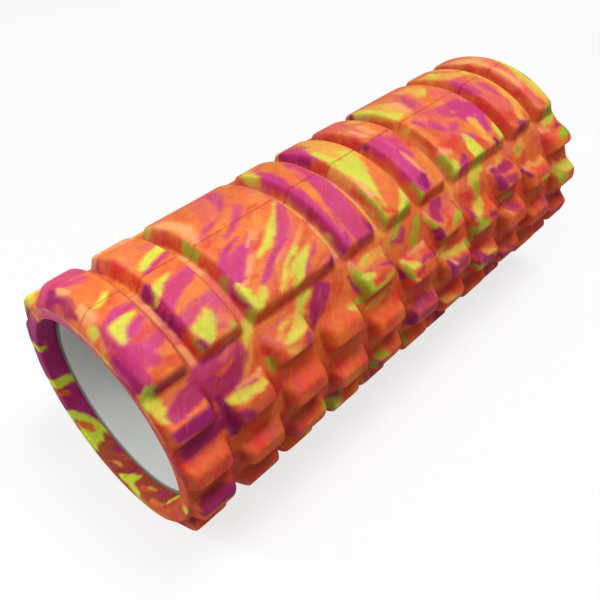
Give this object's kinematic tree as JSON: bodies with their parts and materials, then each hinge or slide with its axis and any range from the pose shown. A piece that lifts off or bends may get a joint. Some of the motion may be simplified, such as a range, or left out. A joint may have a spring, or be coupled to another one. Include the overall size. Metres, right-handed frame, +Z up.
{
  "type": "foam roller",
  "caption": "Hollow-core cylindrical foam roller: a textured marbled foam sleeve of wide ribs and small staggered blocks bonded over a rigid tube, for rolling out muscles.",
  "frame": {"origin": "centre of the roller, on the axis of the core tube, midway between the two end faces", "axes": "+X along the roller's axis; +Z up through the upper butt seam and the middle of the upper wide band; -Y towards the side of small blocks"},
  "size_m": [0.33, 0.138, 0.138],
  "materials": {
    "foam": "matte closed-cell EVA foam, marbled in orange, magenta and lime",
    "core": "smooth pale grey moulded plastic, light satin",
    "bond": "cured contact adhesive"
  },
  "bodies": {
    "root": {"core_tube": "core", "foam_half_front": "foam", "foam_half_back": "foam", "bond_film": "bond", "seam_glue_top": "bond", "seam_glue_bottom": "bond"}
  },
  "joints": []
}
